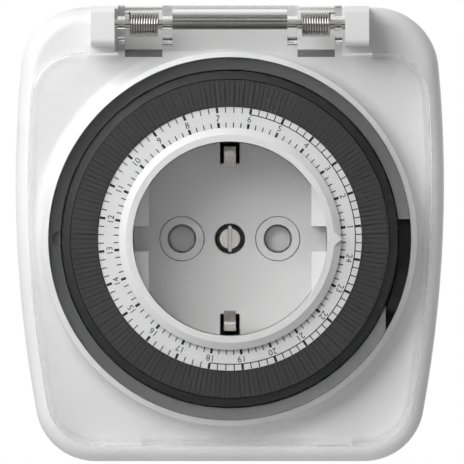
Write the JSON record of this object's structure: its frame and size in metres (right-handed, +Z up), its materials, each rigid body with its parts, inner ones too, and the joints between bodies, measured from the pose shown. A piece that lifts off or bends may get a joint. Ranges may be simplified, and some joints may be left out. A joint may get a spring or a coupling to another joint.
{
  "type": "plug in timer switch",
  "caption": "Square-shouldered plug in day timer: clear sprung lid over a tappet dial that turns around an earthed socket, with an earthed plug behind.",
  "frame": {"origin": "centre of the plug boss's end face", "axes": "+X right seen from the dial side, +Z up towards the lid's hinge, +Y towards the wall"},
  "size_m": [0.0854, 0.082, 0.0904],
  "materials": {
    "white_abs": "satin moulded",
    "clear_polycarbonate": "clear moulded",
    "dark_grey_abs": "fine spark texture",
    "grey_abs": "fine spark texture",
    "black_abs": "fine spark texture",
    "white_acetal": "as moulded",
    "black_rubber": "matt",
    "zinc_steel": "zinc plated",
    "spring_steel": "drawn and polished",
    "nickel_brass": "nickel plated"
  },
  "bodies": {
    "root": {"front_housing": "white_abs", "rear_housing": "white_abs", "housing_seal": "black_rubber", "plug_gasket": "black_rubber", "housing_screws": "zinc_steel", "plug_pin_live": "nickel_brass", "plug_pin_neutral": "nickel_brass", "plug_earth_strips": "nickel_brass", "socket_well": "white_abs", "socket_floor": "white_abs", "bezel": "white_abs", "centre_screw": "zinc_steel", "earth_clip": "nickel_brass", "live_contact": "nickel_brass", "neutral_contact": "nickel_brass", "shutter_spring": "spring_steel", "dial_surround": "grey_abs", "override_track": "black_abs", "gear_plate": "grey_abs", "plate_pillars": "zinc_steel", "plate_screws": "zinc_steel", "well_screws": "zinc_steel", "idler_axle": "spring_steel", "motor_can": "zinc_steel", "motor_shaft": "spring_steel", "switch_case": "black_abs", "switch_terminals": "nickel_brass", "live_feed_bar": "nickel_brass", "switched_bar": "nickel_brass", "hinge_pin": "spring_steel", "hinge_spring_left": "spring_steel", "hinge_spring_right": "spring_steel"},
    "lid": {"lid": "clear_polycarbonate"},
    "dial": {"dial_carrier": "dark_grey_abs", "dial_scale": "white_abs", "tappets": "dark_grey_abs"},
    "idler": {"idler_gear": "white_acetal"},
    "pinion": {"motor_pinion": "white_acetal"},
    "shutter": {"shutter": "white_abs"},
    "override": {"override_slider": "black_abs"},
    "lever": {"trip_lever": "white_acetal"},
    "plunger": {"switch_plunger": "white_acetal"},
    "tap_0100": {"tappet_0100": "dark_grey_abs"},
    "tap_0115": {"tappet_0115": "dark_grey_abs"},
    "tap_0130": {"tappet_0130": "dark_grey_abs"},
    "tap_0145": {"tappet_0145": "dark_grey_abs"}
  },
  "joints": [
    {"name": "lid_hinge", "type": "hinge", "parent": "root", "child": "lid", "pos_m": [0, -0.0592, 0.0422], "axis": [-1, 0, 0], "range_deg": [0, 110], "stiffness_Nm_per_rad": 0.012, "springref_deg": -34.38, "deforming": ["hinge_spring_left", "hinge_spring_right"]},
    {"name": "dial_spin", "type": "hinge", "parent": "root", "child": "dial", "pos_m": [0, -0.05, 0], "axis": [0, 1, 0], "continuous": true},
    {"name": "idler_spin", "type": "hinge", "parent": "root", "child": "idler", "pos_m": [-0.027, -0.04, 0], "axis": [0, 1, 0], "continuous": true},
    {"name": "pinion_spin", "type": "hinge", "parent": "root", "child": "pinion", "pos_m": [-0.027, -0.035, -0.013], "axis": [0, 1, 0], "continuous": true},
    {"name": "shutter_turn", "type": "hinge", "parent": "root", "child": "shutter", "pos_m": [0, -0.039, 0], "axis": [0, 1, 0], "range_deg": [0, 40], "stiffness_Nm_per_rad": 0.0015, "springref_deg": -17.19, "deforming": ["shutter_spring"]},
    {"name": "override_slide", "type": "hinge", "parent": "root", "child": "override", "pos_m": [0, -0.056, 0], "axis": [0, -1, 0], "range_deg": [0, 8]},
    {"name": "lever_rock", "type": "hinge", "parent": "root", "child": "lever", "pos_m": [0.02875, -0.0473, -0.0135], "axis": [-1, 0, 0], "range_deg": [0, 9], "stiffness_Nm_per_rad": 0.01, "springref_deg": -8.59},
    {"name": "plunger_press", "type": "slide", "parent": "root", "child": "plunger", "axis": [0, 1, 0], "range_m": [0, 0.0013]},
    {"name": "tappet_0100_press", "type": "slide", "parent": "dial", "child": "tap_0100", "axis": [0, 1, 0], "range_m": [0, 0.0022]},
    {"name": "tappet_0115_press", "type": "slide", "parent": "dial", "child": "tap_0115", "axis": [0, 1, 0], "range_m": [0, 0.0022]},
    {"name": "tappet_0130_press", "type": "slide", "parent": "dial", "child": "tap_0130", "axis": [0, 1, 0], "range_m": [0, 0.0022]},
    {"name": "tappet_0145_press", "type": "slide", "parent": "dial", "child": "tap_0145", "axis": [0, 1, 0], "range_m": [0, 0.0022]}
  ],
  "couplings": [
    {"joint": "idler_spin", "follows": "dial_spin", "ratio": -8},
    {"joint": "pinion_spin", "follows": "dial_spin", "ratio": 26.667},
    {"joint": "plunger_press", "follows": "lever_rock", "m_per_rad": 0.008}
  ]
}
